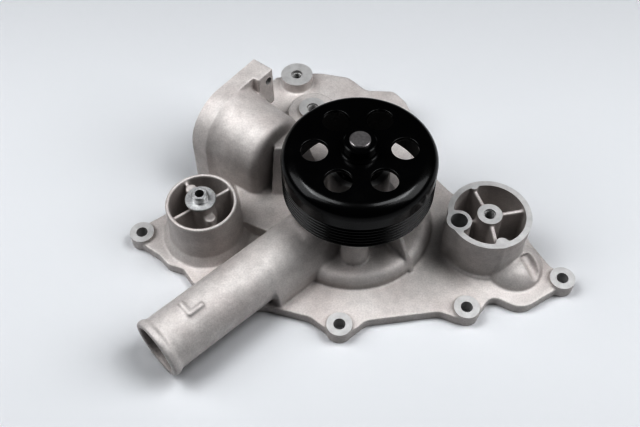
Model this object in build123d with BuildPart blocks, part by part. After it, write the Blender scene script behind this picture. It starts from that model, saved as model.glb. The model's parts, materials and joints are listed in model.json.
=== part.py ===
from build123d import *
import os
from math import atan2, cos, degrees, hypot, radians, sin

os.makedirs("parts", exist_ok=True)

# Water pump of a V8 engine, with its pulley, in millimetres.
# Frame: the origin is on the shaft's axis in the plane of the gasket face, +Z runs along the shaft
# towards the pulley, and +X points from the left idler drum to the right one.

UP = (Align.CENTER, Align.CENTER, Align.MIN)

# ------------------------------------------------------------------ driving dimensions
# mounting plate and its bolts
PLATE_T = 9.0
PLATFORM_Z = 21.0
BOLT_HOLE_R = 4.5
BOSS_R = 10.0
BOSS_TOP = 12.0
TAP_R = 5.1
BOSS_CENTRES = [(-10.2, -97.3), (86.2, -77.9), (162.0, -48.6), (-174.8, -21.1)]
REAR_BOSS = (-59.3, 146.7)
REAR_BOSS_R = 14.4
REAR_BOSS_TOP = 31.0
REAR_THREAD_CHAMFER_R = 6.7
REAR_THREAD_FLOOR = 6.0
HUMP_BOSS = (-42.0, 103.0)
HUMP_BOSS_RADII = (13.5, 12.2)
HUMP_BOSS_TOP = 34.0
HUMP_THREAD_FLOOR = 10.0
HUMP_RADII = (25.0, 22.0)
HUMP_TOP = 30.0

# volute, inlet chamber and bearing neck
VOLUTE_CENTRE = (-3.2, -0.6)
VOLUTE_R = 64.6
VOLUTE_SHOULDER = 9.0
VOLUTE_CORE_R = 56.0
VOLUTE_CORE_TOP = 13.0
IMPELLER_CAVITY_R = 50.0
IMPELLER_CAVITY_TOP = 16.0
EYE_R = 26.0
CHAMBER_R = 28.0
CHAMBER_Z = (20.0, 38.0)
NECK_BASE_R = 33.0
NECK_BASE_TOP = 43.0
NECK_R = 24.0
NECK_TOP = 84.0
SEAL_BORE_R = 16.0
WEEP_R = 3.5
WEEP_Z = 44.0
WEEP_AZIMUTH = 70.0
COLUMN = (-1.0, -40.0)
COLUMN_RADII = (11.4, 10.2)
COLUMN_TOP = 56.0
COLUMN_WEB_T = 12.0
COLUMN_WEB_TOP = 50.0
GUSSET_AZIMUTH = -46.0
GUSSET_T = 4.2
ROOT_Z = 10.0

# hose neck
HOSE_R = 22.2
HOSE_BORE_R = 18.5
HOSE_BEAD_R = 24.0
HOSE_AZIMUTH = 45.2
HOSE_END = (-141.7, -131.6, 24.3)
HOSE_LENGTH = 168.0
HOSE_LAND = 27.0
HOSE_DRAFT = 0.4
HOSE_SKIRT_START = 94.0
HOSE_LUG_T = 3.4
HOSE_CORE_ROUND_END = 70.0
HOSE_CORE_FLAT_START = 140.0
HOSE_CORE_END = 178.0
HOSE_CORE_FLAT = (40.0, 17.6, 7.0)
HOSE_CORE_Z = 29.0

# thermostat housing, whose bore looks to the back left
STAT_AZIMUTH = 145.0
STAT_OFFSET = -6.0
STAT_Z = 45.0
STAT_INNER = 76.0
STAT_FLARE = 113.0
STAT_FLANGE = 124.5
STAT_FACE = 139.0
STAT_R = 33.3
STAT_END_R = 31.0
STAT_FLANGE_R = 36.0
STAT_END_ROUND = 7.0
STAT_BORE_FLOOR = 84.0
STAT_BORE_R = 26.5
STAT_SEAT_R = 29.5
STAT_EAR_FRONT = 119.0
STAT_EAR_HEIGHT = 38.0
STAT_BOLTS = [(-40.0, 26.5), (29.5, -29.5)]
STAT_BOLT_R = 3.4
STAT_SEAT_DEPTH = 3.0
STAT_PORT_DISTANCE = 104.0
STAT_PORT_R = 17.0

# idler drums
LEFT_DRUM = (-121.8, -15.7)
LEFT_DRUM_R = 28.2
LEFT_DRUM_BASE_R = 31.0
LEFT_DRUM_WALL = 3.0
LEFT_DRUM_FOOT_R = 36.0
LEFT_DRUM_FOOT_TOP = 15.0
LEFT_DRUM_RIB_T = 3.0
RIGHT_DRUM = (101.8, -17.2)
RIGHT_DRUM_R = 32.2
RIGHT_DRUM_WALL = 4.6
RIGHT_DRUM_RIB_T = 3.4
DRUM_TOP = 50.0
DRUM_FLOOR = 13.0
DRUM_RIB_DROP = 2.5
LEFT_POST_RADII = (10.5, 9.0)
LEFT_POST_TOP = 52.0
LEFT_POST_FLOOR = 26.0
RIGHT_POST_RADII = (10.6, 9.7)
RIGHT_POST_HOLE_R = 4.6
RIGHT_POST_FLOOR = 20.0
RIM_BOLT = (78.0, -24.3)
RIM_BOLT_R = 6.5
RIM_BOLT_BOSS_R = 9.8
RIM_BOLT_FLOOR = 24.0
INSERT_SPIGOT_R = 5.5
INSERT_FLANGE = (12.2, 2.2)
INSERT_COLLAR = (6.3, 8.2)
INSERT_HOLE_R = 3.4
PORT_DEPTH = 9.0
TROUGH_WIDTH = 24.0
TROUGH_DEPTH = 5.0
BULGE_CENTRE = (125.0, -37.5)
BULGE_R = 23.0
BULGE_TOP = 22.0
BULGE_VALLEY = (Vector(133, -35, 24.5), Vector(143, -53, 17.5))
BULGE_VALLEY_R = 6.0
BULGE_CORE_R = 17.0

# shaft and bearing
SHAFT_R = 8.0
SHAFT_START = 2.2
SHAFT_END = 112.5
JOURNAL_R = 9.5
BEARING_R = 19.05
BEARING_Z = (46.0, 84.0)
RACE_R = 15.3
RACE_CLEARANCE = 0.12
CAGE_CLEARANCE = 0.15
CAGE_HALF_T = 1.1
BALL_R = 4.0
BALL_COUNT = 7
BALL_Z = 55.0
ROLLER_R = 2.7
ROLLER_COUNT = 11
ROLLER_LENGTH = 10.0
ROLLER_Z = 73.0
PITCH_R = (JOURNAL_R + RACE_R) / 2

# pulley
RIB_COUNT = 6
RIB_PITCH = 3.56
RIB_DEPTH = 2.9
PULLEY_R = 58.7
PULLEY_BOTTOM = 59.0
PULLEY_BAND_Z = 81.5
PULLEY_SHOULDER = 10.5
PULLEY_FACE = 100.5
PULLEY_WALL = 3.2
PULLEY_HOLE_R = 10.3
PULLEY_HOLE_PITCH_R = 33.4
PULLEY_HOLE_ANGLE = 4.0

# impeller and face seal
IMPELLER_R = 46.0
IMPELLER_BACK = (2.0, 4.5)
BLADE_TOP = 14.5
BLADE_COUNT = 7
IMPELLER_HUB_R = 12.0
IMPELLER_HUB_TOP = 19.0
FACE_GAP = 0.15


# ------------------------------------------------------------------ helpers
def polar(radius, azimuth, centre=(0.0, 0.0)):
    """Point at a radius and an azimuth in degrees from a centre."""
    return (centre[0] + radius * cos(radians(azimuth)), centre[1] + radius * sin(radians(azimuth)))


def disc(centre, bottom, top, radius, mode=Mode.ADD):
    """Upright cylinder between two heights."""
    with Locations((centre[0], centre[1], bottom)):
        Cylinder(radius, top - bottom, align=UP, mode=mode)


def taper(centre, bottom, top, bottom_r, top_r, mode=Mode.ADD):
    """Upright cone between two heights, for walls with draft."""
    with Locations((centre[0], centre[1], bottom)):
        Cone(bottom_r, top_r, top - bottom, align=UP, mode=mode)


def slab(outline, bottom, top, mode=Mode.ADD):
    """Flat body whose outline is a list of corners as (x, y, corner radius)."""
    with BuildSketch(Plane.XY.offset(bottom)) as profile:
        with BuildLine():
            FilletPolyline(*[corner[:2] for corner in outline], radius=[corner[2] for corner in outline],
                           close=True)
        make_face()
    extrude(profile.sketch, amount=top - bottom, mode=mode)


def wall(start, end, thickness, bottom, top, mode=Mode.ADD):
    """Thin upright wall between two points of the ground plan."""
    length = hypot(end[0] - start[0], end[1] - start[1])
    turn = degrees(atan2(end[1] - start[1], end[0] - start[0]))
    with Locations(Location(((start[0] + end[0]) / 2, (start[1] + end[1]) / 2, bottom), (0, 0, turn))):
        Box(length, thickness, top - bottom, align=UP, mode=mode)


def ring_profile(points):
    """Closed half section in the XZ plane, drawn as (radius, height) pairs."""
    with BuildLine() as outline:
        Polyline(*points, close=True)
    make_face(outline.edges())


def stat_plane(distance):
    """Plane across the thermostat bore; its x runs to the left and its y runs up."""
    out = Vector(cos(radians(STAT_AZIMUTH)), sin(radians(STAT_AZIMUTH)), 0)
    side = Vector(out.Y, -out.X, 0)
    origin = out * distance + side * STAT_OFFSET + Vector(0, 0, STAT_Z)
    return Plane(origin=origin, x_dir=side * -1, z_dir=out)


def hose_plane(distance, height=HOSE_END[2]):
    """Plane across the hose neck at a distance in from its end, with y up."""
    along = Vector(cos(radians(HOSE_AZIMUTH)), sin(radians(HOSE_AZIMUTH)), 0)
    origin = Vector(HOSE_END[0], HOSE_END[1], height) + along * distance
    return Plane(origin=origin, x_dir=Vector(-along.Y, along.X, 0), z_dir=along)


def hose_section_plane():
    """Upright plane through the hose neck's axis; its x runs inwards from the end."""
    along = Vector(cos(radians(HOSE_AZIMUTH)), sin(radians(HOSE_AZIMUTH)), 0)
    return Plane(origin=Vector(*HOSE_END), x_dir=along, z_dir=Vector(along.Y, -along.X, 0))


def weep_plane(distance):
    """Plane across the weep hole at a distance from the shaft's axis."""
    return Plane(origin=(*polar(distance, WEEP_AZIMUTH), WEEP_Z), z_dir=(*polar(1, WEEP_AZIMUTH), 0))


def save(block, name):
    """Label a finished piece and write it as STEP."""
    block.part.label = name
    export_step(block.part, f"parts/{name}.step")


# ------------------------------------------------------------------ pump housing
# outlines as (x, y, corner radius); small radii lie inside a boss
PLATE_OUTLINE = [
    (-100, -86, 5), (-68, -83, 20), (-33, -91, 14), (-19, -101, 2), (-2, -103, 2), (10, -92, 12),
    (66, -81.5, 14), (80, -87, 2), (95, -82, 2), (106, -65.5, 8), (129, -76.5, 16), (156, -58, 5),
    (169, -55, 2), (169, -42, 2), (155, -37, 8), (141, -14, 20), (134, 12, 14), (80, 33, 10),
    (66, 50, 10), (50, 90, 5), (0, 120, 5), (-90, 110, 5), (-126, 62, 5), (-128, 34, 5),
    (-160, 0, 14), (-175, -12, 2), (-175, -30, 2), (-158, -40.5, 8), (-149, -49.5, 9),
    (-136.5, -53, 4), (-126, -66, 6),
]
CROSSOVER_OUTLINE = [
    (45, 50, 3), (46.5, 110, 10), (41, 126, 8), (30, 139, 8), (5, 139, 12), (-12, 155, 12),
    (-40, 160, 20), (-80, 152, 5), (-92, 128, 5), (-98, 84, 5), (-60, 40, 3),
]
CROSSOVER_CORE = [
    (37, 72, 3), (37, 110, 5), (26, 130, 5), (2, 130, 5), (-17, 144, 5), (-38, 148, 3), (-42, 128, 3),
    (-22, 108, 5), (-22, 72, 3),
]
STAT_UPPER_EAR = [(0, 0), (0, STAT_FLANGE_R), (-45, STAT_FLANGE_R), (-45.5, 25), (-33.5, -13)]
STAT_LOWER_EAR = [(0, 0), (STAT_FLANGE_R, 0), (37.5, -38), (0, -38)]
PLATFORM_OUTLINE = [
    (-99, 14, 3), (-92, -13, 5), (-70, -22, 5), (-20, -26, 2), (-20, 44, 2), (-100, 66, 3), (-112, 46, 3),
]


def stat_arch(radius):
    """Face of the thermostat housing's outline: a half circle on nearly upright walls."""
    with BuildLine() as outline:
        ThreePointArc((radius, 0), (0, radius), (-radius, 0))
        Polyline((-radius, 0), (-radius - 1, -STAT_Z), (radius + 1, -STAT_Z), (radius, 0))
    make_face(outline.edges())


# thermostat barrel with a rounded inner end, which the housing takes in below
with BuildPart() as stat_barrel:
    with BuildSketch(stat_plane(STAT_INNER)):
        stat_arch(STAT_END_R)
    with BuildSketch(stat_plane(STAT_FLARE)):
        stat_arch(STAT_R)
    loft()
    inner_end = stat_barrel.edges().group_by(Axis((0, 0, 0), stat_plane(0).z_dir))[0]
    fillet(inner_end.sort_by(Axis.Z)[1:], STAT_END_ROUND)
    # flare that meets the flange
    for distance, growth in ((STAT_FLARE, 0.0), ((STAT_FLARE + STAT_FLANGE) / 2, 0.9), (STAT_FLANGE, 3.2)):
        with BuildSketch(stat_plane(distance)):
            stat_arch(STAT_R + growth)
    loft()

with BuildPart() as pump_housing:
    slab(PLATE_OUTLINE, 0, PLATE_T)
    slab(CROSSOVER_OUTLINE, 0, PLATFORM_Z)
    slab(PLATFORM_OUTLINE, 0, PLATFORM_Z)
    disc(LEFT_DRUM, 0, PLATE_T, LEFT_DRUM_FOOT_R)
    taper(LEFT_DRUM, PLATE_T, LEFT_DRUM_FOOT_TOP, LEFT_DRUM_FOOT_R, LEFT_DRUM_BASE_R)

    # volute with a rounded shoulder
    rim_x = VOLUTE_CENTRE[0] + VOLUTE_R
    shoulder_z = PLATFORM_Z - VOLUTE_SHOULDER
    with BuildSketch(Plane.XZ.offset(-VOLUTE_CENTRE[1])):
        with BuildLine():
            Line((VOLUTE_CENTRE[0], 0), (rim_x, 0))
            Line((rim_x, 0), (rim_x, shoulder_z))
            RadiusArc((rim_x, shoulder_z), (rim_x - VOLUTE_SHOULDER, PLATFORM_Z), -VOLUTE_SHOULDER)
            Line((rim_x - VOLUTE_SHOULDER, PLATFORM_Z), (VOLUTE_CENTRE[0], PLATFORM_Z))
            Line((VOLUTE_CENTRE[0], PLATFORM_Z), (VOLUTE_CENTRE[0], 0))
        make_face()
    revolve(axis=Axis((VOLUTE_CENTRE[0], VOLUTE_CENTRE[1], 0), (0, 0, 1)))

    # bearing neck on its wider base
    with BuildSketch(Plane.XZ):
        ring_profile([(0, ROOT_Z), (NECK_BASE_R + 4, ROOT_Z), (NECK_BASE_R + 4, PLATFORM_Z),
                      (NECK_BASE_R, PLATFORM_Z + 6), (NECK_BASE_R, NECK_BASE_TOP - 5),
                      (NECK_BASE_R - 5, NECK_BASE_TOP), (NECK_R, NECK_BASE_TOP + 6),
                      (NECK_R, NECK_TOP - 1.5), (NECK_R - 1.5, NECK_TOP), (0, NECK_TOP)])
    revolve(axis=Axis.Z)

    # front column and the gusset beside it
    taper(COLUMN, ROOT_Z, COLUMN_TOP, *COLUMN_RADII)
    wall(COLUMN, (COLUMN[0], -SEAL_BORE_R), COLUMN_WEB_T, ROOT_Z, COLUMN_WEB_TOP)
    gusset_plane = Plane(origin=(0, 0, 0), x_dir=(*polar(1, GUSSET_AZIMUTH), 0),
                         z_dir=(*polar(1, GUSSET_AZIMUTH - 90), 0))
    with BuildSketch(gusset_plane):
        with BuildLine():
            Polyline((15, 8), (64.8, 8), (64.8, 10), (49.3, 42), (44, 54), (15, 62), close=True)
        make_face()
    extrude(amount=GUSSET_T / 2, both=True)

    # hose neck: round tube with a bead, on a skirt that widens towards the plate
    with BuildSketch(hose_section_plane()):
        with BuildLine():
            Polyline((0, 0), (0, HOSE_BEAD_R - 1.2), (1.2, HOSE_BEAD_R), (5.0, HOSE_BEAD_R),
                     (7.5, HOSE_R), (HOSE_LAND, HOSE_R), (HOSE_LENGTH, HOSE_R + HOSE_DRAFT),
                     (HOSE_LENGTH, 0), close=True)
        make_face()
    revolve(axis=Axis(HOSE_END, hose_section_plane().x_dir))
    with BuildSketch(hose_plane(HOSE_SKIRT_START, 0)):
        with BuildLine():
            Polyline((-27.5, 0), (27.5, 0), (27.0, 20), (21.2, 31), (-21.2, 31), (-27.0, 20), close=True)
        make_face()
    extrude(amount=HOSE_LENGTH - HOSE_SKIRT_START)
    for start, end in (((31.5, 8), (31.5, -6)), ((30, -4.5), (43.5, -4.5))):
        lug_start = hose_plane(0).from_local_coords(Vector(start[1], 0, start[0]))
        lug_end = hose_plane(0).from_local_coords(Vector(end[1], 0, end[0]))
        wall((lug_start.X, lug_start.Y), (lug_end.X, lug_end.Y), HOSE_LUG_T,
             HOSE_END[2] + 15, HOSE_END[2] + HOSE_R + 1.3)

    # thermostat housing and its two-bolt flange
    add(stat_barrel.part)
    with BuildSketch(stat_plane(STAT_FLANGE)):
        Circle(STAT_FLANGE_R)
        for ear in (STAT_UPPER_EAR, STAT_LOWER_EAR):
            with BuildLine():
                Polyline(*ear, close=True)
            make_face()
    extrude(amount=STAT_FACE - STAT_FLANGE)
    with BuildSketch(stat_plane(STAT_EAR_FRONT)):
        with Locations((-37, STAT_FLANGE_R - STAT_EAR_HEIGHT / 2)):
            Rectangle(18, STAT_EAR_HEIGHT)
    extrude(amount=STAT_FACE - STAT_EAR_FRONT)

    # body that carries the coolant from the barrel's end to the neck
    with BuildSketch(Plane.XY.offset(ROOT_Z)):
        with BuildLine():
            Polyline((-72, 11), (-46, 12), (-30, 45), (-56, 66), close=True)
        make_face()
    with BuildSketch(Plane.XY.offset(62)):
        with BuildLine():
            Polyline((-69, 30), (-56, 32), (-46, 48), (-60, 58), close=True)
        make_face()
    loft()

    # raised hump behind the pulley with its threaded boss, and the rear boss
    taper(HUMP_BOSS, 0, HUMP_TOP, *HUMP_RADII)
    taper(HUMP_BOSS, 0, HUMP_BOSS_TOP, *HUMP_BOSS_RADII)
    wall(HUMP_BOSS, (-20, 20), 36, ROOT_Z, HUMP_TOP)
    taper(REAR_BOSS, 0, REAR_BOSS_TOP, REAR_BOSS_R + 0.4, REAR_BOSS_R)

    # coolant bulge beside the right drum
    bulge_x = BULGE_CENTRE[0] + BULGE_R
    with BuildSketch(Plane.XZ.offset(-BULGE_CENTRE[1])):
        with BuildLine():
            Polyline((BULGE_CENTRE[0], 0), (bulge_x, 0), (bulge_x, PLATE_T + 1))
            ThreePointArc((bulge_x, PLATE_T + 1), (bulge_x - BULGE_R * 0.28, BULGE_TOP - 3.4),
                          (BULGE_CENTRE[0], BULGE_TOP))
            Line((BULGE_CENTRE[0], BULGE_TOP), (BULGE_CENTRE[0], 0))
        make_face()
    revolve(axis=Axis((*BULGE_CENTRE, 0), (0, 0, 1)))
    valley_run = BULGE_VALLEY[1] - BULGE_VALLEY[0]
    with BuildSketch(Plane(origin=BULGE_VALLEY[0], z_dir=valley_run)):
        Circle(BULGE_VALLEY_R)
    extrude(amount=valley_run.length, mode=Mode.SUBTRACT)

    # idler drums, solid for now, the right one on a low foot
    taper(LEFT_DRUM, 0, DRUM_TOP, LEFT_DRUM_BASE_R, LEFT_DRUM_R)
    taper(RIGHT_DRUM, 0, DRUM_TOP, RIGHT_DRUM_R - 0.5, RIGHT_DRUM_R)
    taper(RIGHT_DRUM, 0, PLATE_T + 2, RIGHT_DRUM_R + 2.6, RIGHT_DRUM_R + 2.0)
    disc(RIM_BOLT, 0, DRUM_TOP, RIM_BOLT_BOSS_R)

    # plate bosses
    for centre in BOSS_CENTRES:
        disc(centre, 0, BOSS_TOP, BOSS_R)

    # ---- hollows of the drums
    taper(LEFT_DRUM, DRUM_FLOOR, DRUM_TOP + 1, LEFT_DRUM_R - LEFT_DRUM_WALL - 1.5,
          LEFT_DRUM_R - LEFT_DRUM_WALL + 0.1, mode=Mode.SUBTRACT)
    taper(RIGHT_DRUM, DRUM_FLOOR, DRUM_TOP + 1, RIGHT_DRUM_R - RIGHT_DRUM_WALL - 1.0,
          RIGHT_DRUM_R - RIGHT_DRUM_WALL + 0.1, mode=Mode.SUBTRACT)
    # posts and ribs inside them
    rib_top = DRUM_TOP - DRUM_RIB_DROP
    root = DRUM_FLOOR - 1
    taper(LEFT_DRUM, root, LEFT_POST_TOP, *LEFT_POST_RADII)
    for azimuth, top in ((38, rib_top), (128, rib_top), (218, rib_top), (308, 36)):
        wall(LEFT_DRUM, polar(27, azimuth, LEFT_DRUM), LEFT_DRUM_RIB_T, root, top)
    disc(polar(16, 128, LEFT_DRUM), root, DRUM_TOP, 4.6)
    disc(polar(11.5, 308, LEFT_DRUM), root, 42, 4.7)
    taper(RIGHT_DRUM, root, DRUM_TOP, *RIGHT_POST_RADII)
    for azimuth, top in ((112, rib_top), (14, rib_top), (278, rib_top), (186, 42)):
        wall(RIGHT_DRUM, polar(30, azimuth, RIGHT_DRUM), RIGHT_DRUM_RIB_T, root, top)
    disc(RIM_BOLT, root, DRUM_TOP, RIM_BOLT_BOSS_R)
    disc(polar(28.5, 112, RIGHT_DRUM), root, DRUM_TOP, 3.4)
    disc(polar(27.5, 286, RIGHT_DRUM), root, DRUM_TOP, 5.0)

    # ---- water passages
    disc((0, 0), -1, IMPELLER_CAVITY_TOP, IMPELLER_CAVITY_R, mode=Mode.SUBTRACT)
    disc(VOLUTE_CENTRE, -1, VOLUTE_CORE_TOP, VOLUTE_CORE_R, mode=Mode.SUBTRACT)
    disc((0, 0), ROOT_Z, CHAMBER_Z[0] + 1, EYE_R, mode=Mode.SUBTRACT)
    disc((0, 0), CHAMBER_Z[0], CHAMBER_Z[1], CHAMBER_R, mode=Mode.SUBTRACT)
    with BuildSketch(hose_plane(-1)):
        Circle(HOSE_BORE_R)
    extrude(amount=HOSE_CORE_ROUND_END + 1, mode=Mode.SUBTRACT)
    with BuildSketch(hose_plane(HOSE_CORE_ROUND_END)):
        Circle(HOSE_BORE_R)
    with BuildSketch(hose_plane(HOSE_CORE_FLAT_START, HOSE_CORE_Z)):
        RectangleRounded(*HOSE_CORE_FLAT)
    loft(mode=Mode.SUBTRACT)
    with BuildSketch(hose_plane(HOSE_CORE_FLAT_START, HOSE_CORE_Z)):
        RectangleRounded(*HOSE_CORE_FLAT)
    extrude(amount=HOSE_CORE_END - HOSE_CORE_FLAT_START, mode=Mode.SUBTRACT)
    with BuildSketch(stat_plane(STAT_FACE + 1)):
        Circle(STAT_BORE_R)
    extrude(amount=-(STAT_FACE + 1 - STAT_BORE_FLOOR), mode=Mode.SUBTRACT)
    with BuildSketch(stat_plane(STAT_FACE + 1)):
        Circle(STAT_SEAT_R)
    extrude(amount=-(STAT_SEAT_DEPTH + 1), mode=Mode.SUBTRACT)
    stat_port = stat_plane(STAT_PORT_DISTANCE).origin
    disc((stat_port.X, stat_port.Y), -1, STAT_Z, STAT_PORT_R, mode=Mode.SUBTRACT)
    slab(CROSSOVER_CORE, -1, PLATFORM_Z - 5, mode=Mode.SUBTRACT)
    # outlet troughs from the volute to the ports below the drums
    for start, port, port_r in (((50, -8), RIGHT_DRUM, 24.0), ((-50, -8), LEFT_DRUM, 22.0)):
        wall(start, port, TROUGH_WIDTH, -1, TROUGH_DEPTH, mode=Mode.SUBTRACT)
        disc(port, -1, PORT_DEPTH, port_r, mode=Mode.SUBTRACT)
    disc(BULGE_CENTRE, -1, BULGE_TOP - PLATE_T, BULGE_CORE_R, mode=Mode.SUBTRACT)

    # ---- bores and holes
    disc((0, 0), CHAMBER_Z[1] - 1, BEARING_Z[0] + 1, SEAL_BORE_R, mode=Mode.SUBTRACT)
    disc((0, 0), BEARING_Z[0], NECK_TOP + 1, BEARING_R, mode=Mode.SUBTRACT)
    with BuildSketch(weep_plane(10)):
        Circle(WEEP_R)
    extrude(amount=30, mode=Mode.SUBTRACT)
    for centre in BOSS_CENTRES:
        disc(centre, -1, BOSS_TOP + 1, BOLT_HOLE_R, mode=Mode.SUBTRACT)
    disc(REAR_BOSS, REAR_THREAD_FLOOR, REAR_BOSS_TOP + 1, TAP_R, mode=Mode.SUBTRACT)
    taper(REAR_BOSS, REAR_BOSS_TOP - REAR_THREAD_CHAMFER_R + TAP_R, REAR_BOSS_TOP, TAP_R,
          REAR_THREAD_CHAMFER_R, mode=Mode.SUBTRACT)
    disc(HUMP_BOSS, HUMP_THREAD_FLOOR, HUMP_BOSS_TOP + 1, TAP_R, mode=Mode.SUBTRACT)
    disc(LEFT_DRUM, LEFT_POST_FLOOR, LEFT_POST_TOP + 1, INSERT_SPIGOT_R, mode=Mode.SUBTRACT)
    disc(RIGHT_DRUM, RIGHT_POST_FLOOR, DRUM_TOP + 1, RIGHT_POST_HOLE_R, mode=Mode.SUBTRACT)
    disc(RIM_BOLT, RIM_BOLT_FLOOR, DRUM_TOP + 1, RIM_BOLT_R, mode=Mode.SUBTRACT)
    with BuildSketch(stat_plane(STAT_FACE + 1)):
        with Locations(*STAT_BOLTS):
            Circle(STAT_BOLT_R)
    extrude(amount=-(STAT_FACE + 2 - STAT_EAR_FRONT), mode=Mode.SUBTRACT)
save(pump_housing, "pump_housing")


# ------------------------------------------------------------------ small pieces on the housing
# flanged insert on the left drum's post
with BuildPart() as drum_insert:
    disc(LEFT_DRUM, LEFT_POST_TOP, LEFT_POST_TOP + INSERT_FLANGE[1], INSERT_FLANGE[0])
    chamfer(drum_insert.edges().filter_by(GeomType.CIRCLE), 0.5)
    disc(LEFT_DRUM, LEFT_POST_TOP, LEFT_POST_TOP + INSERT_COLLAR[1], INSERT_COLLAR[0])
    chamfer(drum_insert.edges().filter_by(GeomType.CIRCLE).group_by(Axis.Z)[-1], 0.8)
    disc(LEFT_DRUM, LEFT_POST_FLOOR + 2, LEFT_POST_TOP, INSERT_SPIGOT_R)
    disc(LEFT_DRUM, LEFT_POST_FLOOR, LEFT_POST_TOP + INSERT_COLLAR[1] + 1, INSERT_HOLE_R,
         mode=Mode.SUBTRACT)
save(drum_insert, "drum_insert")

# cap in the mouth of the weep hole
with BuildPart() as weep_plug:
    with BuildSketch(weep_plane(NECK_R - 2.5)):
        Circle(WEEP_R)
        Circle(1.2, mode=Mode.SUBTRACT)
    extrude(amount=2.2)
save(weep_plug, "weep_plug")

# ------------------------------------------------------------------ bearing
with BuildPart() as bearing_outer_race:
    with BuildSketch(Plane.XZ) as race_section:
        with Locations(((RACE_R + BEARING_R) / 2, sum(BEARING_Z) / 2)):
            Rectangle(BEARING_R - RACE_R, BEARING_Z[1] - BEARING_Z[0])
        chamfer(race_section.vertices(), 0.4)
        with Locations((PITCH_R, BALL_Z)):
            Circle(BALL_R + RACE_CLEARANCE, mode=Mode.SUBTRACT)
    revolve(axis=Axis.Z)
save(bearing_outer_race, "bearing_outer_race")

with BuildPart() as bearing_balls:
    with PolarLocations(PITCH_R, BALL_COUNT):
        with Locations((0, 0, BALL_Z)):
            Sphere(BALL_R)
save(bearing_balls, "bearing_balls")

with BuildPart() as bearing_rollers:
    with PolarLocations(PITCH_R, ROLLER_COUNT):
        with Locations((0, 0, ROLLER_Z)):
            Cylinder(ROLLER_R, ROLLER_LENGTH)
    chamfer(bearing_rollers.edges().filter_by(GeomType.CIRCLE), 0.3)
save(bearing_rollers, "bearing_rollers")


def cage_ring(height, centre_z):
    """Sleeve that separates rolling elements, between the journal and the race."""
    with BuildSketch(Plane.XY.offset(centre_z - height / 2)) as sleeve:
        Circle(PITCH_R + CAGE_HALF_T)
        Circle(PITCH_R - CAGE_HALF_T, mode=Mode.SUBTRACT)
    extrude(sleeve.sketch, amount=height)


with BuildPart() as ball_cage:
    cage_ring(10.0, BALL_Z)
    with PolarLocations(PITCH_R, BALL_COUNT):
        with Locations(Location((0, 0, BALL_Z), (0, 90, 0))):
            Cylinder(BALL_R + CAGE_CLEARANCE, 6, mode=Mode.SUBTRACT)
save(ball_cage, "ball_cage")

with BuildPart() as roller_cage:
    cage_ring(ROLLER_LENGTH + 4.0, ROLLER_Z)
    with PolarLocations(PITCH_R, ROLLER_COUNT):
        with Locations((0, 0, ROLLER_Z)):
            Cylinder(ROLLER_R + CAGE_CLEARANCE, ROLLER_LENGTH + 0.4, mode=Mode.SUBTRACT)
save(roller_cage, "roller_cage")


def lip_seal(bottom, top, lip_end):
    """Half section of a bearing seal pressed in the race, its lip near the journal."""
    ring_profile([(RACE_R, bottom), (RACE_R, top), (JOURNAL_R + 1.4, top), (JOURNAL_R + 0.2, lip_end),
                  (JOURNAL_R + 0.9, bottom)])


with BuildPart() as bearing_front_seal:
    with BuildSketch(Plane.XZ):
        lip_seal(BEARING_Z[1] - 3.2, BEARING_Z[1] - 1.4, BEARING_Z[1] - 2.3)
    revolve(axis=Axis.Z)
save(bearing_front_seal, "bearing_front_seal")

with BuildPart() as bearing_rear_seal:
    with BuildSketch(Plane.XZ):
        lip_seal(BEARING_Z[0] + 1.0, BEARING_Z[0] + 2.8, BEARING_Z[0] + 1.9)
    revolve(axis=Axis.Z)
save(bearing_rear_seal, "bearing_rear_seal")

# ------------------------------------------------------------------ face seal, stationary side
SEAL_FACE_Z = 24.0
RING_BACK_Z = 20.2
RING_R = (9.0, 13.4)
CARBON_R = (9.4, 13.6)
CARBON_TOP = 28.0
CASE_R = 9.2
CASE_TOP = 43.0
CASE_T = 0.9

with BuildPart() as carbon_ring:
    with BuildSketch(Plane.XZ):
        ring_profile([(CARBON_R[0], SEAL_FACE_Z + FACE_GAP), (12.2, SEAL_FACE_Z + FACE_GAP), (12.2, 25.6),
                      (CARBON_R[1], 26.2), (CARBON_R[1], CARBON_TOP), (CARBON_R[0], CARBON_TOP)])
    revolve(axis=Axis.Z)
save(carbon_ring, "carbon_ring")

with BuildPart() as seal_case:
    with BuildSketch(Plane.XZ):
        ring_profile([(CASE_R, CASE_TOP), (SEAL_BORE_R, CASE_TOP), (SEAL_BORE_R, CHAMBER_Z[1]),
                      (18.5, CHAMBER_Z[1]), (18.5, CHAMBER_Z[1] - CASE_T),
                      (SEAL_BORE_R - CASE_T, CHAMBER_Z[1] - CASE_T),
                      (SEAL_BORE_R - CASE_T, CASE_TOP - CASE_T), (CASE_R, CASE_TOP - CASE_T)])
    revolve(axis=Axis.Z)
save(seal_case, "seal_case")

with BuildPart() as seal_bellows:
    with BuildSketch(Plane.XZ):
        ring_profile([(9.6, CARBON_TOP), (13.6, CARBON_TOP), (13.6, 29.2), (11.6, 29.8), (11.2, 31.6),
                      (12.6, 33.2), (12.6, 34.6), (10.9, 36.2), (10.9, 39.4), (14.9, 39.6),
                      (14.9, CASE_TOP - CASE_T), (9.6, CASE_TOP - CASE_T)])
    revolve(axis=Axis.Z)
save(seal_bellows, "seal_bellows")

# coil spring round the bellows, pushing the carbon down from the case
SPRING_R = 14.0
SPRING_WIRE_R = 0.55
with BuildPart() as seal_spring:
    with BuildLine() as spring_path:
        Helix(pitch=2.6, height=8.6, radius=SPRING_R, center=(0, 0, 29.9))
    with BuildSketch(Plane(origin=spring_path.line @ 0, z_dir=spring_path.line % 0)):
        Circle(SPRING_WIRE_R)
    sweep(path=spring_path.line, is_frenet=True)
save(seal_spring, "seal_spring")

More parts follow.
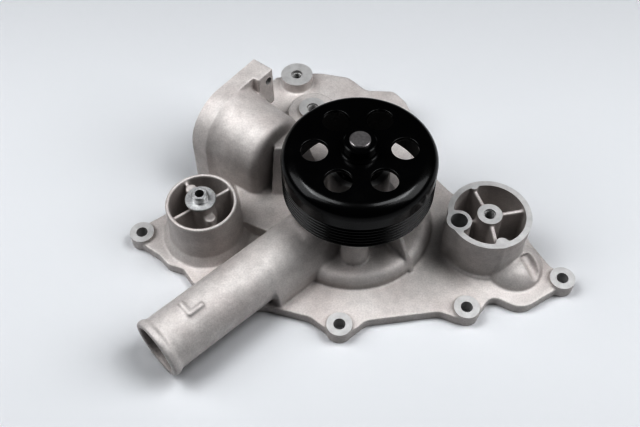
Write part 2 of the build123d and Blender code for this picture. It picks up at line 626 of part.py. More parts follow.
# ------------------------------------------------------------------ rotor
with BuildPart() as shaft:
    with BuildSketch(Plane.XZ):
        ring_profile([(0, SHAFT_START), (SHAFT_R - 0.8, SHAFT_START), (SHAFT_R, SHAFT_START + 0.8),
                      (SHAFT_R, BEARING_Z[0] - 0.5), (JOURNAL_R, BEARING_Z[0] + 0.5),
                      (JOURNAL_R, BEARING_Z[1] - 0.4), (SHAFT_R, BEARING_Z[1] + 0.6),
                      (SHAFT_R, SHAFT_END - 0.7), (SHAFT_R - 0.7, SHAFT_END), (0, SHAFT_END)])
        with Locations((PITCH_R, BALL_Z)):
            Circle(BALL_R + RACE_CLEARANCE, mode=Mode.SUBTRACT)
    revolve(axis=Axis.Z)
save(shaft, "shaft")

SLINGER_Z = (43.6, 45.0)
SLINGER_R = 14.6
with BuildPart() as slinger:
    with BuildSketch(Plane.XZ):
        ring_profile([(SHAFT_R, SLINGER_Z[0]), (SHAFT_R, SLINGER_Z[1]), (9.6, SLINGER_Z[1]),
                      (SLINGER_R, SLINGER_Z[0] + 0.6), (SLINGER_R, SLINGER_Z[0])])
    revolve(axis=Axis.Z)
save(slinger, "slinger")

with BuildPart() as mating_ring_boot:
    with BuildSketch(Plane.XZ):
        ring_profile([(SHAFT_R, IMPELLER_HUB_TOP), (RING_R[1] + 1, IMPELLER_HUB_TOP),
                      (RING_R[1] + 1, SEAL_FACE_Z - 1), (RING_R[1], SEAL_FACE_Z - 1),
                      (RING_R[1], RING_BACK_Z), (RING_R[0], RING_BACK_Z),
                      (RING_R[0], SEAL_FACE_Z - 0.6), (SHAFT_R, SEAL_FACE_Z - 0.6)])
    revolve(axis=Axis.Z)
save(mating_ring_boot, "mating_ring_boot")

with BuildPart() as mating_ring:
    with BuildSketch(Plane.XZ):
        with Locations((sum(RING_R) / 2, (RING_BACK_Z + SEAL_FACE_Z) / 2)):
            Rectangle(RING_R[1] - RING_R[0], SEAL_FACE_Z - RING_BACK_Z)
    revolve(axis=Axis.Z)
save(mating_ring, "mating_ring")

# impeller with backward-curved blades standing on its back plate
BLADE_WIDTH = 2.4
with BuildPart() as impeller:
    with BuildSketch(Plane.XZ):
        ring_profile([(SHAFT_R, IMPELLER_BACK[0]), (IMPELLER_R, IMPELLER_BACK[0]),
                      (IMPELLER_R, IMPELLER_BACK[1] - 0.8), (30, IMPELLER_BACK[1]),
                      (16, 7.5), (IMPELLER_HUB_R, 12), (IMPELLER_HUB_R, IMPELLER_HUB_TOP),
                      (SHAFT_R, IMPELLER_HUB_TOP)])
    revolve(axis=Axis.Z)
    with PolarLocations(0, BLADE_COUNT):
        with BuildSketch(Plane.XY.offset(IMPELLER_BACK[0] + 0.5)):
            with BuildLine():
                outer_arc = ThreePointArc(polar(13, 0), polar(29, -22), polar(IMPELLER_R - 0.5, -52))
                inner_arc = ThreePointArc(polar(13, 10), polar(30, -16.5), polar(IMPELLER_R - 0.5, -49))
                Line(outer_arc @ 0, inner_arc @ 0)
                Line(outer_arc @ 1, inner_arc @ 1)
            make_face()
        extrude(amount=BLADE_TOP - IMPELLER_BACK[0] - 0.5)
save(impeller, "impeller")

# stepped hub pressed on the shaft, which carries the pulley's web
HUB_R = 12.4
HUB_FLANGE_R = 14.8
HUB_BOTTOM = 86.0
HUB_TOP = 110.5
with BuildPart() as pulley_hub:
    with BuildSketch(Plane.XZ):
        ring_profile([(SHAFT_R, HUB_BOTTOM), (HUB_R, HUB_BOTTOM), (HUB_R, PULLEY_FACE),
                      (HUB_FLANGE_R, PULLEY_FACE),
                      (HUB_FLANGE_R, PULLEY_FACE + 0.9), (HUB_FLANGE_R - 0.9, PULLEY_FACE + 1.8),
                      (HUB_R + 0.5, PULLEY_FACE + 3.2), (HUB_R, HUB_TOP - 1.0), (HUB_R - 1.0, HUB_TOP),
                      (SHAFT_R, HUB_TOP)])
    revolve(axis=Axis.Z)
save(pulley_hub, "pulley_hub")

# pulley: domed front, smooth band, six ribs, and a stiff lower flange
groove_half = RIB_PITCH / 2 - 0.25
face_r = PULLEY_R - PULLEY_SHOULDER
inner_r = PULLEY_R - RIB_DEPTH - PULLEY_WALL
inner_top = PULLEY_FACE - PULLEY_WALL
inner_round = 7.5
with BuildPart() as pulley:
    with BuildSketch(Plane.XZ):
        with BuildLine():
            Line((HUB_R, inner_top), (HUB_R, PULLEY_FACE))
            Line((HUB_R, PULLEY_FACE), (face_r, PULLEY_FACE))
            RadiusArc((face_r, PULLEY_FACE), (PULLEY_R, PULLEY_FACE - PULLEY_SHOULDER), PULLEY_SHOULDER)
            Line((PULLEY_R, PULLEY_FACE - PULLEY_SHOULDER), (PULLEY_R, PULLEY_BOTTOM + 0.6))
            Line((PULLEY_R, PULLEY_BOTTOM + 0.6), (PULLEY_R - 0.6, PULLEY_BOTTOM))
            Line((PULLEY_R - 0.6, PULLEY_BOTTOM), (inner_r, PULLEY_BOTTOM))
            Line((inner_r, PULLEY_BOTTOM), (inner_r, inner_top - inner_round))
            RadiusArc((inner_r, inner_top - inner_round), (inner_r - inner_round, inner_top), -inner_round)
            Line((inner_r - inner_round, inner_top), (HUB_R, inner_top))
        make_face()
        for rib in range(RIB_COUNT):
            middle = PULLEY_BAND_Z - RIB_PITCH * (rib + 0.5)
            with BuildLine():
                Polyline((PULLEY_R + 0.1, middle + groove_half), (PULLEY_R - RIB_DEPTH, middle + 0.45),
                         (PULLEY_R - RIB_DEPTH, middle - 0.45), (PULLEY_R + 0.1, middle - groove_half),
                         close=True)
            make_face(mode=Mode.SUBTRACT)
    revolve(axis=Axis.Z)
    with PolarLocations(PULLEY_HOLE_PITCH_R, 6, start_angle=PULLEY_HOLE_ANGLE):
        with Locations((0, 0, inner_top - 1)):
            Cylinder(PULLEY_HOLE_R, PULLEY_WALL + 2, align=UP, mode=Mode.SUBTRACT)
save(pulley, "pulley")
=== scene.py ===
import json
import math

import bmesh
import bpy
from mathutils import Matrix, Vector

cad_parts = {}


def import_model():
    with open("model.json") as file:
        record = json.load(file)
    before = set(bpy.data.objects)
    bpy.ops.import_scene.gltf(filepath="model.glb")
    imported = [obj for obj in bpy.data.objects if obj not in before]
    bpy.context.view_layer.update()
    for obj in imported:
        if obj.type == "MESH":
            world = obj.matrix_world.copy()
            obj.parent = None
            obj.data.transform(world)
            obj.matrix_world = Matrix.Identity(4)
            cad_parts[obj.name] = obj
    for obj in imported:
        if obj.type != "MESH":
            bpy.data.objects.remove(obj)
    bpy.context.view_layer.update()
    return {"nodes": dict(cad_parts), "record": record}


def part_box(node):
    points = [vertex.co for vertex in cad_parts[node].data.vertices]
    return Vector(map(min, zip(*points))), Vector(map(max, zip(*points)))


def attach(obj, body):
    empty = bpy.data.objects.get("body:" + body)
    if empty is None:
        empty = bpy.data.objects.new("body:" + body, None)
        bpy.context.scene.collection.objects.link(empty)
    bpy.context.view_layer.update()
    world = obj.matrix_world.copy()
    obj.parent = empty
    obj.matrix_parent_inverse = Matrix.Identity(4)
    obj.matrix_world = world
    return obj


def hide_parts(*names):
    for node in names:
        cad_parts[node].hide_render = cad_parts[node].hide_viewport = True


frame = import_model()
scene = bpy.context.scene
mounts = {mount["name"]: mount for mount in frame["record"]["mounts"]}

MM = 0.001
UP = Vector((0, 0, 1))

# ------------------------------------------------------------------ sizes, in millimetres
VOXEL = 0.75  # grid of the casting's mesh
FILLET_PASSES = 14  # smoothing passes, which give cast edges a radius of about 2 mm
STOCK = 2.5  # metal left on a face for machining
WOBBLE = 0.16  # unevenness of the cast walls
LEFT_DRUM = (-121.8, -15.7)
RIGHT_DRUM = (101.8, -17.2)
RIGHT_DRUM_R = 32.2
DRUM_TOP = 50.0
RIM_BOLT_BOSS_R = 9.8
NECK_R = 24.0
BEARING_BORE = (46.0, 19.05)  # floor height and radius
SEAL_BORE = (37.0, 16.0)
STAT_FACE = 139.0
STAT_SEAT = (136.0, 29.5)  # floor distance and radius
STAT_BORE_FLOOR = 84.0
REAR_BOSS_TOP = 31.0
PULLEY_R = 58.7
PULLEY_BOTTOM = 59.0
PULLEY_FACE = 100.5
PULLEY_WALL = 3.2
PULLEY_SHOULDER = 10.5
PULLEY_INNER_R = 52.6
PULLEY_INNER_ROUND = 7.5
BAND_Z = 81.5  # top of the ribs
RIB_COUNT = 6
RIB_PITCH = 3.56
RIB_DEPTH = 2.9
RIB_LAND = 1.0  # width of a rib's crest
RIB_ROOT = 0.3  # half the width of a groove's floor
RIB_EDGE = (0.25, 0.2)  # depth and height of a crest's broken edge
PULLEY_CHAMFER = 0.6
HUB_R = 12.4
HOLE_R = 10.3
HOLE_PITCH_R = 33.4
HOLE_ANGLE = 4.0  # azimuth of the first hole, in degrees
HOLE_COUNT = 6
HOLE_LIP = 0.8  # radius of the pressed edge round a hole
CUT_PAST = 8.0  # how far a milling or boring tool reaches past a face
THREAD_RELIEF = (1.6, 3.0)  # plain mouth of a threaded hole, and the length without turns
THREAD_PITCHES = {"rear_boss_thread": 1.75, "hump_boss_thread": 1.75, "idler_thread_right": 1.5}
THREAD_STEPS = 6  # rings of mesh in each turn of a thread


# ------------------------------------------------------------------ mesh helpers
def new_object(name, mesh):
    """Object for a mesh, linked to the scene."""
    made = bpy.data.objects.new(name, mesh)
    scene.collection.objects.link(made)
    return made


def from_bmesh(name, bm, material=None):
    """Object from a bmesh, which is freed."""
    bmesh.ops.recalc_face_normals(bm, faces=bm.faces)
    mesh = bpy.data.meshes.new(name)
    bm.to_mesh(mesh)
    bm.free()
    if material:
        mesh.materials.append(material)
    return new_object(name, mesh)


def lathe_rings(bm, rings, segments, closed):
    """Faces between rings round the Z axis. A ring is a (radius, height) pair or a function of the angle."""
    grid = []
    for ring in rings:
        row = []
        for step in range(segments):
            angle = 2 * math.pi * step / segments
            radius, height = ring(angle) if callable(ring) else ring
            x = radius * MM * math.cos(angle)
            y = radius * MM * math.sin(angle)
            row.append(bm.verts.new((x, y, height * MM)))
        grid.append(row)
    pairs = list(zip(grid, grid[1:]))
    if closed:
        pairs.append((grid[-1], grid[0]))
    for low, high in pairs:
        for step in range(segments):
            after = (step + 1) % segments
            bm.faces.new((low[step], low[after], high[after], high[step]))
    if not closed:
        bm.faces.new(grid[0][::-1])
        bm.faces.new(grid[-1])


def lathe(name, profile, material, segments=288, closed=True, place=Matrix.Identity(4)):
    """Solid of revolution of a (radius, height) profile in millimetres, moved to its place."""
    bm = bmesh.new()
    lathe_rings(bm, profile, segments, closed)
    bmesh.ops.transform(bm, matrix=place, verts=bm.verts)
    return from_bmesh(name, bm, material)


def arc(centre, radius, start, end, steps=8):
    """Points of an arc in the (radius, height) half plane, from one angle in degrees to another."""
    points = []
    for step in range(steps + 1):
        angle = math.radians(start + (end - start) * step / steps)
        points.append((centre[0] + radius * math.cos(angle), centre[1] + radius * math.sin(angle)))
    return points


def standing(foot, axis):
    """Matrix that takes the Z axis to an axis from a foot point in metres."""
    return Matrix.Translation(foot) @ axis.to_track_quat("Z", "Y").to_matrix().to_4x4()


def applied(piece):
    """Replaces a piece's mesh by what its modifiers make of it."""
    depsgraph = bpy.context.evaluated_depsgraph_get()
    mesh = bpy.data.meshes.new_from_object(piece.evaluated_get(depsgraph), depsgraph=depsgraph)
    piece.modifiers.clear()
    piece.data = mesh
    return piece


def join(target, others):
    """Adds other objects' meshes to a target's mesh and removes them."""
    bm = bmesh.new()
    bm.from_mesh(target.data)
    for other in others:
        bm.from_mesh(other.data)
        bpy.data.objects.remove(other)
    bm.to_mesh(target.data)
    bm.free()
    return target


def cut(piece, cutters):
    """Subtracts cutters, whose material stays on the faces that they make, and removes them."""
    for cutter in cutters:
        boolean = piece.modifiers.new(cutter.name, "BOOLEAN")
        boolean.operation = "DIFFERENCE"
        boolean.solver = "MANIFOLD"
        boolean.material_mode = "TRANSFER"
        boolean.object = cutter
    applied(piece)
    for cutter in cutters:
        bpy.data.objects.remove(cutter)
    return piece


def shade(piece, angle=35):
    """Smooth shading that breaks at edges sharper than an angle in degrees."""
    piece.data.shade_smooth()
    piece.data.set_sharp_from_angle(angle=math.radians(angle))
    return piece


# ------------------------------------------------------------------ material helpers
def new_material(name, colour, metallic, roughness):
    """Principled material and its node tree's parts."""
    material = bpy.data.materials.new(name)
    material.use_nodes = True
    shader = material.node_tree.nodes["Principled BSDF"]
    shader.inputs["Base Color"].default_value = (*colour, 1)
    shader.inputs["Metallic"].default_value = metallic
    shader.inputs["Roughness"].default_value = roughness
    return material, material.node_tree, shader


def coordinates(tree, scale=(1, 1, 1)):
    """Object coordinates stretched by a scale."""
    source = tree.nodes.new("ShaderNodeTexCoord")
    mapping = tree.nodes.new("ShaderNodeMapping")
    mapping.inputs["Scale"].default_value = scale
    tree.links.new(source.outputs["Object"], mapping.inputs["Vector"])
    return mapping.outputs["Vector"]


def noise(tree, vector, size, detail=4.0, rough=0.55):
    """Noise whose blobs are about a size in millimetres across."""
    node = tree.nodes.new("ShaderNodeTexNoise")
    node.inputs["Scale"].default_value = 1 / (size * MM)
    node.inputs["Detail"].default_value = detail
    node.inputs["Roughness"].default_value = rough
    tree.links.new(vector, node.inputs["Vector"])
    return node.outputs["Fac"]


def ramp(tree, factor, stops):
    """Colour ramp with (position, value or colour) stops."""
    node = tree.nodes.new("ShaderNodeValToRGB")
    elements = node.color_ramp.elements
    while len(elements) < len(stops):
        elements.new(0.5)
    for element, (position, value) in zip(elements, stops):
        element.position = position
        element.color = (*value, 1) if isinstance(value, tuple) else (value, value, value, 1)
    tree.links.new(factor, node.inputs["Fac"])
    return node.outputs["Color"]


def multiply(tree, a, b):
    """Product of two colours."""
    node = tree.nodes.new("ShaderNodeMix")
    node.data_type = "RGBA"
    node.blend_type = "MULTIPLY"
    node.inputs["Factor"].default_value = 1.0
    tree.links.new(a, node.inputs["A"])
    tree.links.new(b, node.inputs["B"])
    return node.outputs["Result"]


def bump(tree, height, distance, strength=1.0, before=None):
    """Bump of a height in millimetres, on top of an earlier one."""
    node = tree.nodes.new("ShaderNodeBump")
    node.inputs["Distance"].default_value = distance * MM
    node.inputs["Strength"].default_value = strength
    tree.links.new(height, node.inputs["Height"])
    if before:
        tree.links.new(before, node.inputs["Normal"])
    return node.outputs["Normal"]


# ------------------------------------------------------------------ materials
def cast_aluminium():
    """Blasted sand casting: pale warm grey, fine grain, blotches and a satin sheen."""
    material, tree, shader = new_material("cast_aluminium", (0.8, 0.78, 0.76), 0.25, 0.6)
    vector = coordinates(tree)
    grain = ramp(tree, noise(tree, vector, 1.3, 5), [(0.3, 0.89), (0.7, 1.0)])
    blotch = ramp(tree, noise(tree, vector, 9, 4), [(0.3, 0.9), (0.7, 1.0)])
    tints = [(0.35, (0.755, 0.72, 0.705)), (0.65, (0.815, 0.79, 0.775))]
    tint = ramp(tree, noise(tree, vector, 40, 2), tints)
    tree.links.new(multiply(tree, multiply(tree, tint, blotch), grain), shader.inputs["Base Color"])
    rough = ramp(tree, noise(tree, vector, 3, 3), [(0.3, 0.54), (0.7, 0.66)])
    tree.links.new(rough, shader.inputs["Roughness"])
    pits = bump(tree, noise(tree, vector, 0.9, 3), 0.25, 0.5)
    tree.links.new(bump(tree, noise(tree, vector, 5, 2), 0.5, 0.35, pits), shader.inputs["Normal"])
    return material


def machined_aluminium():
    """Milled face: near white, with fine tool marks."""
    material, tree, shader = new_material("machined_aluminium", (0.66, 0.655, 0.65), 0.25, 0.5)
    vector = coordinates(tree)
    marks = coordinates(tree, (1, 14, 1))
    tone = ramp(tree, noise(tree, vector, 6, 3), [(0.3, (0.62, 0.615, 0.61)), (0.7, (0.70, 0.695, 0.69))])
    tree.links.new(tone, shader.inputs["Base Color"])
    tree.links.new(bump(tree, noise(tree, marks, 4, 2), 0.05, 0.4), shader.inputs["Normal"])
    return material


def black_coat():
    """Gloss black coating over pressed steel, with a slight orange peel."""
    material, tree, shader = new_material("black_coat", (0.006, 0.006, 0.007), 0.0, 0.22)
    vector = coordinates(tree)
    shader.inputs["Coat Weight"].default_value = 0.6
    shader.inputs["Coat Roughness"].default_value = 0.12
    rough = ramp(tree, noise(tree, vector, 12, 4), [(0.3, 0.2), (0.7, 0.3)])
    tree.links.new(rough, shader.inputs["Roughness"])
    tree.links.new(bump(tree, noise(tree, vector, 2.5, 2), 0.03, 0.5), shader.inputs["Normal"])
    return material


def turned_steel(name, colour, roughness, ring_size=0.5, centre=(0.0, 0.0)):
    """Steel with fine turning rings about an upright axis at a centre in millimetres."""
    material, tree, shader = new_material(name, colour, 0.95, roughness)
    source = tree.nodes.new("ShaderNodeTexCoord")
    mapping = tree.nodes.new("ShaderNodeMapping")
    mapping.inputs["Location"].default_value = (-centre[0] * MM, -centre[1] * MM, 0)
    tree.links.new(source.outputs["Object"], mapping.inputs["Vector"])
    wave = tree.nodes.new("ShaderNodeTexWave")
    wave.wave_type = "RINGS"
    wave.rings_direction = "Z"
    wave.inputs["Scale"].default_value = 0.32 / (ring_size * MM)
    wave.inputs["Distortion"].default_value = 0.6
    wave.inputs["Detail"].default_value = 2.0
    tree.links.new(mapping.outputs["Vector"], wave.inputs["Vector"])
    tone = ramp(tree, noise(tree, mapping.outputs["Vector"], 2.0, 3), [(0.3, 0.8), (0.7, 1.0)])
    plain = tree.nodes.new("ShaderNodeRGB")
    plain.outputs[0].default_value = (*colour, 1)
    tree.links.new(multiply(tree, plain.outputs[0], tone), shader.inputs["Base Color"])
    tree.links.new(bump(tree, wave.outputs["Fac"], 0.04, 0.6), shader.inputs["Normal"])
    return material


def speckled(name, colour, metallic, roughness, size, depth, contrast=0.15):
    """Plain material with a grain of a size in millimetres."""
    material, tree, shader = new_material(name, colour, metallic, roughness)
    vector = coordinates(tree)
    low = tuple(channel * (1 - contrast) for channel in colour)
    high = tuple(min(1.0, channel * (1 + contrast)) for channel in colour)
    tone = ramp(tree, noise(tree, vector, size), [(0.3, low), (0.7, high)])
    tree.links.new(tone, shader.inputs["Base Color"])
    tree.links.new(bump(tree, noise(tree, vector, size), depth, 0.5), shader.inputs["Normal"])
    return material


CAST = cast_aluminium()
MACHINED = machined_aluminium()
BLACK = black_coat()
SHAFT_STEEL = turned_steel("shaft_steel", (0.62, 0.6, 0.6), 0.42, 0.8)
INSERT_STEEL = turned_steel("insert_steel", (0.8, 0.8, 0.8), 0.48, 0.6, LEFT_DRUM)
BEARING_STEEL = turned_steel("bearing_steel", (0.62, 0.62, 0.63), 0.18, 0.4)
CAGE_PLASTIC = speckled("cage_plastic", (0.72, 0.65, 0.48), 0.0, 0.45, 1.5, 0.05)
SEAL_RUBBER = speckled("seal_rubber", (0.03, 0.03, 0.032), 0.0, 0.6, 0.8, 0.05, 0.3)
BRASS = speckled("brass", (0.75, 0.56, 0.26), 0.95, 0.3, 2.0, 0.03, 0.08)
CARBON = speckled("carbon", (0.055, 0.055, 0.06), 0.1, 0.35, 0.6, 0.02, 0.3)
CERAMIC = speckled("ceramic", (0.85, 0.83, 0.79), 0.0, 0.22, 3.0, 0.01, 0.04)
IMPELLER_STEEL = speckled("impeller_steel", (0.5, 0.5, 0.47), 0.85, 0.42, 2.5, 0.08, 0.12)


# ------------------------------------------------------------------ housing: casting, then machining
def mount_frame(name):
    """Mouth, outward axis, radius and length of a mount that is a hole, all in metres."""
    mount = mounts[name]
    axis = Vector(mount["axis"])
    length = mount["dims"]["length_mm"] * MM
    mouth = Vector(mount["pos_m"]) + axis * length / 2
    return mouth, axis, mount["dims"]["r_mm"] * MM, length


STAT_AXIS = Vector(mounts["thermostat_bore"]["axis"])
STAT_LINE = Vector(mounts["thermostat_bore"]["pos_m"])
STAT_LINE = STAT_LINE - STAT_AXIS * STAT_LINE.dot(STAT_AXIS)


def stat_point(distance):
    """Point on the thermostat bore's axis at a distance from the shaft, in millimetres."""
    return STAT_LINE + STAT_AXIS * distance * MM


BOSSES = ["plate_bolt_front", "plate_bolt_front_right", "plate_bolt_right", "plate_bolt_left"]


def machined_faces():
    """(centre, normal, radius) in metres of each milled face that stands proud of the casting."""
    faces = [(*mount_frame(name)[:2], 12 * MM) for name in BOSSES]
    rear = mount_frame("rear_boss_thread")[0]
    faces.append((Vector((rear.x, rear.y, REAR_BOSS_TOP * MM)), UP, 16.5 * MM))
    faces.append((*mount_frame("hump_boss_thread")[:2], 14 * MM))
    faces.append((Vector((*RIGHT_DRUM, DRUM_TOP)) * MM, UP, (RIGHT_DRUM_R + 2) * MM))
    rim_mouth = mount_frame("rim_bolt_hole")[0]
    faces.append((rim_mouth, UP, (RIM_BOLT_BOSS_R + 2) * MM))
    faces.append((Vector((0, 0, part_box("pump_housing")[1].z)), UP, (NECK_R + 2) * MM))
    faces.append((stat_point(STAT_FACE), STAT_AXIS, 70 * MM))
    faces.append((Vector((0, 0, 0)), -UP, 300 * MM))
    return faces


def bores():
    """(mouth, outward axis, radius, length) in metres of each hole that is drilled or bored."""
    holes = [mount_frame(name) for name in BOSSES]
    holes.append(mount_frame("rim_bolt_hole"))
    for name in ("rear_boss_thread", "hump_boss_thread", "idler_thread_right",
                 "thermostat_bolt_upper", "thermostat_bolt_lower"):
        holes.append(mount_frame(name))
    top = Vector((0, 0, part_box("pump_housing")[1].z))
    for floor, radius in (BEARING_BORE, SEAL_BORE):
        holes.append((top, UP, radius * MM, top.z - floor * MM))
    face = stat_point(STAT_FACE)
    floor, radius = STAT_SEAT
    holes.append((face, STAT_AXIS, radius * MM, (STAT_FACE - floor) * MM))
    bore = mounts["thermostat_bore"]["dims"]
    holes.append((face, STAT_AXIS, bore["r_mm"] * MM, (STAT_FACE - STAT_BORE_FLOOR) * MM))
    return holes


def stock_added(bm):
    """Moves the milled faces outwards, as the casting is before machining."""
    near = 0.08 * MM
    for centre, normal, radius in machined_faces():
        for vertex in bm.verts:
            offset = vertex.co - centre
            height = offset.dot(normal)
            if abs(height) < near and (offset - normal * height).length < radius:
                vertex.co += normal * STOCK * MM


def cylinder_solid(name, mouth, axis, radius, length, past=0.0, material=None, segments=64):
    """Closed cylinder from a hole's floor to its mouth, and past it, in metres."""
    place = standing(mouth - axis * length, axis)
    rings = [(radius / MM, 0), (radius / MM, (length + past) / MM)]
    return lathe(name, rings, material, segments, False, place)


def cast_blank():
    """The casting: the CAD shape with stock on its milled faces, filled holes and soft edges."""
    bm = bmesh.new()
    bm.from_mesh(frame["nodes"]["pump_housing"].data)
    bmesh.ops.remove_doubles(bm, verts=bm.verts, dist=1e-6)
    stock_added(bm)
    blank = from_bmesh("housing_casting", bm)
    fills = []
    for index, (mouth, axis, radius, length) in enumerate(bores()):
        if radius < 8 * MM:
            fills.append(cylinder_solid(f"fill_{index}", mouth, axis, radius + 0.6 * MM, length, STOCK * MM))
    join(blank, fills)
    remesh = blank.modifiers.new("grid", "REMESH")
    remesh.mode = "VOXEL"
    remesh.voxel_size = VOXEL * MM
    soften = blank.modifiers.new("fillets", "SMOOTH")
    soften.factor = 0.5
    soften.iterations = FILLET_PASSES
    clouds = bpy.data.textures.new("wobble", "CLOUDS")
    clouds.noise_scale = 0.02
    uneven = blank.modifiers.new("uneven", "DISPLACE")
    uneven.texture = clouds
    uneven.texture_coords = "GLOBAL"
    uneven.strength = WOBBLE * MM * 2
    return applied(blank)


def pump_housing():
    """The casting with its faces milled and its holes bored."""
    housing = cast_blank()
    housing.data.materials.append(CAST)
    cutters = []
    past = CUT_PAST * MM
    for index, (centre, normal, radius) in enumerate(machined_faces()):
        cutters.append(cylinder_solid(f"mill_{index}", centre, normal, radius, 0, past, MACHINED, 128))
    for index, (mouth, axis, radius, length) in enumerate(bores()):
        cutters.append(cylinder_solid(f"bore_{index}", mouth, axis, radius, length, past, MACHINED, 96))
    cut(housing, cutters)
    thin = housing.modifiers.new("thin", "DECIMATE")
    thin.ratio = 0.35
    applied(housing)
    shade(housing)
    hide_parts("pump_housing")
    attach(housing, "housing")
    return housing


# ------------------------------------------------------------------ threads
def thread_sleeve(name, mouth, axis, radius, length, pitch, material, body):
    """Helical thread that lines a hole, from its mouth down, in metres."""
    depth = pitch * 0.55 * MM
    steps = int(length / (pitch * MM) * THREAD_STEPS)

    def crest(height):
        def ring(angle):
            turn = (height / pitch - angle / (2 * math.pi)) % 1.0
            return (radius - depth * (1 - abs(2 * turn - 1))) / MM, height
        return ring

    rings = [crest(pitch * step / THREAD_STEPS) for step in range(steps + 1)]
    outer = (radius + 0.3 * MM) / MM
    rings = rings + [(outer, pitch * steps / THREAD_STEPS), (outer, 0.0)]
    sleeve = lathe(name, rings, material, 48, True, standing(mouth - axis * length, axis))
    shade(sleeve, 50)
    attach(sleeve, body)


def threads():
    """Turns in the bolt holes that show from above."""
    mouth_relief, missing = THREAD_RELIEF
    for hole_name, pitch in THREAD_PITCHES.items():
        mouth, axis, radius, length = mount_frame(hole_name)
        thread_sleeve(f"{hole_name}_turns", mouth - axis * mouth_relief * MM, axis, radius,
                      length - missing * MM, pitch, MACHINED, "housing")


# ------------------------------------------------------------------ pulley
def pulley_profile():
    """(radius, height) section of the pulley in millimetres, from the hub over the front to the inside."""
    top = PULLEY_FACE - PULLEY_WALL
    points = [(HUB_R, top), (HUB_R, PULLEY_FACE)]
    points += arc((PULLEY_R - PULLEY_SHOULDER, PULLEY_FACE - PULLEY_SHOULDER), PULLEY_SHOULDER, 90, 0, 20)
    for rib in range(RIB_COUNT):
        middle = BAND_Z - RIB_PITCH * (rib + 0.5)
        half = RIB_PITCH / 2 - RIB_LAND / 2
        edge_r = PULLEY_R - RIB_EDGE[0]
        root_r = PULLEY_R - RIB_DEPTH
        points += [(PULLEY_R, middle + half + RIB_EDGE[1]), (edge_r, middle + half)]
        points += [(root_r, middle + RIB_ROOT), (root_r, middle - RIB_ROOT)]
        points += [(edge_r, middle - half), (PULLEY_R, middle - half - RIB_EDGE[1])]
    points += [(PULLEY_R, PULLEY_BOTTOM + PULLEY_CHAMFER), (PULLEY_R - PULLEY_CHAMFER, PULLEY_BOTTOM)]
    points += [(PULLEY_INNER_R, PULLEY_BOTTOM)]
    round_centre = (PULLEY_INNER_R - PULLEY_INNER_ROUND, top - PULLEY_INNER_ROUND)
    points += arc(round_centre, PULLEY_INNER_ROUND, 0, 90, 10)
    return points


def pulley():
    """Turned pulley with six pressed holes, whose edges are rounded."""
    wheel = lathe("pulley_wheel", pulley_profile(), BLACK)
    top = PULLEY_FACE - PULLEY_WALL
    flare = [(HOLE_R + HOLE_LIP + 1, -1), (HOLE_R + HOLE_LIP, 0)]
    flare += arc((HOLE_R + HOLE_LIP, HOLE_LIP), HOLE_LIP, 270, 180, 5)[1:]
    flare += arc((HOLE_R + HOLE_LIP, PULLEY_WALL - HOLE_LIP), HOLE_LIP, 180, 90, 5)
    flare += [(HOLE_R + HOLE_LIP + 1, PULLEY_WALL + 1)]
    holes = []
    for hole in range(HOLE_COUNT):
        angle = math.radians(HOLE_ANGLE + 360 / HOLE_COUNT * hole)
        spot = Vector((HOLE_PITCH_R * math.cos(angle), HOLE_PITCH_R * math.sin(angle), top)) * MM
        holes.append(lathe(f"hole_{hole}", flare, BLACK, 72, False, Matrix.Translation(spot)))
    cut(wheel, holes)
    shade(wheel, 30)
    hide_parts("pulley")
    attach(wheel, "rotor")


pump_housing()
pulley()
threads()

NODE_MATERIALS = {
    "drum_insert": INSERT_STEEL, "weep_plug": CAGE_PLASTIC, "bearing_outer_race": BEARING_STEEL,
    "bearing_balls": BEARING_STEEL, "bearing_rollers": BEARING_STEEL, "ball_cage": CAGE_PLASTIC,
    "roller_cage": CAGE_PLASTIC, "bearing_front_seal": SEAL_RUBBER, "bearing_rear_seal": SEAL_RUBBER,
    "carbon_ring": CARBON, "seal_case": BRASS, "seal_bellows": SEAL_RUBBER, "seal_spring": BEARING_STEEL,
    "shaft": SHAFT_STEEL, "slinger": SEAL_RUBBER, "mating_ring_boot": SEAL_RUBBER, "mating_ring": CERAMIC,
    "impeller": IMPELLER_STEEL, "pulley_hub": BLACK,
}
for name, material in NODE_MATERIALS.items():
    node = frame["nodes"][name]
    node.data.materials.clear()
    node.data.materials.append(material)


# ------------------------------------------------------------------ studio
STUDIO_WHITE = (0.985, 0.992, 1.0)
CAMERA_PLACE = (-0.0037, -0.3778, 0.5432)
CAMERA_AZIMUTH = 94
CAMERA_PITCH = 54.2
CAMERA_ROLL = -1.05


def floor():
    """Pale seamless sheet under the part."""
    bm = bmesh.new()
    bmesh.ops.create_grid(bm, x_segments=1, y_segments=1, size=3)
    material, tree, shader = new_material("floor_paper", (0.75, 0.755, 0.765), 0.0, 0.7)
    vector = coordinates(tree)
    tone = ramp(tree, noise(tree, vector, 400, 2), [(0.3, (0.745, 0.75, 0.76)), (0.7, (0.755, 0.76, 0.77))])
    tree.links.new(tone, shader.inputs["Base Color"])
    sheet = from_bmesh("floor", bm, material)


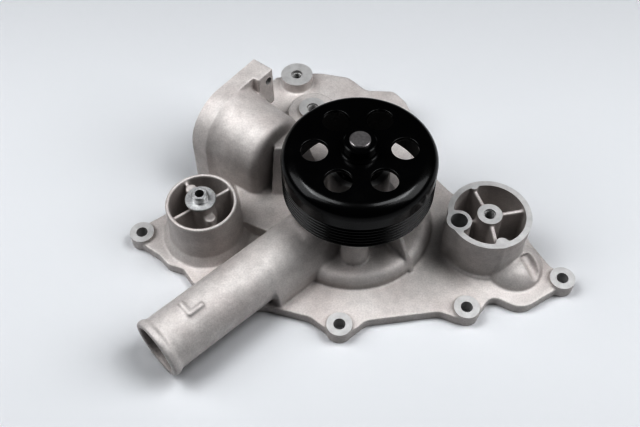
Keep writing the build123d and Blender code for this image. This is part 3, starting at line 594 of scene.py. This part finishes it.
def softbox(name, azimuth, elevation, distance, width, height, power):
    """Area light that faces the part from an azimuth and an elevation in degrees."""
    light = bpy.data.lights.new(name, "AREA")
    light.shape = "RECTANGLE"
    light.size = width
    light.size_y = height
    light.energy = power
    light.color = STUDIO_WHITE
    lamp = new_object(name, light)
    a = math.radians(azimuth)
    e = math.radians(elevation)
    away = Vector((math.cos(a) * math.cos(e), math.sin(a) * math.cos(e), math.sin(e)))
    lamp.location = away * distance
    lamp.rotation_euler = away.to_track_quat("Z", "Y").to_euler()


def world(colour, strength):
    """Even dim fill from all round."""
    surroundings = bpy.data.worlds.new("studio")
    scene.world = surroundings
    surroundings.use_nodes = True
    background = surroundings.node_tree.nodes["Background"]
    background.inputs["Color"].default_value = (*colour, 1)
    background.inputs["Strength"].default_value = strength


def camera():
    """Camera above the front of the part, looking down at its middle."""
    lens = bpy.data.cameras.new("camera")
    lens.sensor_width = 36
    lens.lens = 44.44
    lens.clip_start = 0.01
    holder = new_object("camera", lens)
    azimuth = math.radians(CAMERA_AZIMUTH)
    pitch = math.radians(CAMERA_PITCH)
    roll = math.radians(CAMERA_ROLL)
    level_part = math.cos(pitch)
    forward = Vector((math.cos(azimuth) * level_part, math.sin(azimuth) * level_part, -math.sin(pitch)))
    level = forward.cross(UP).normalized()
    above = level.cross(forward)
    right = level * math.cos(roll) + above * math.sin(roll)
    top = above * math.cos(roll) - level * math.sin(roll)
    turn = Matrix((right, top, -forward)).transposed()
    holder.matrix_world = Matrix.Translation(CAMERA_PLACE) @ turn.to_4x4()
    scene.camera = holder


floor()
softbox("left_softbox", 184, 45, 1.25, 0.8, 1.0, 8.0)
softbox("right_softbox", -2, 45, 1.25, 0.8, 1.0, 8.3)
softbox("top_left_softbox", 165, 70, 1.3, 0.5, 0.55, 5.0)
softbox("top_right_softbox", 15, 70, 1.3, 0.5, 0.55, 5.0)
world((0.9, 0.95, 1.0), 0.05)
camera()
scene.view_settings.view_transform = "Standard"
scene.view_settings.gamma = 0.47
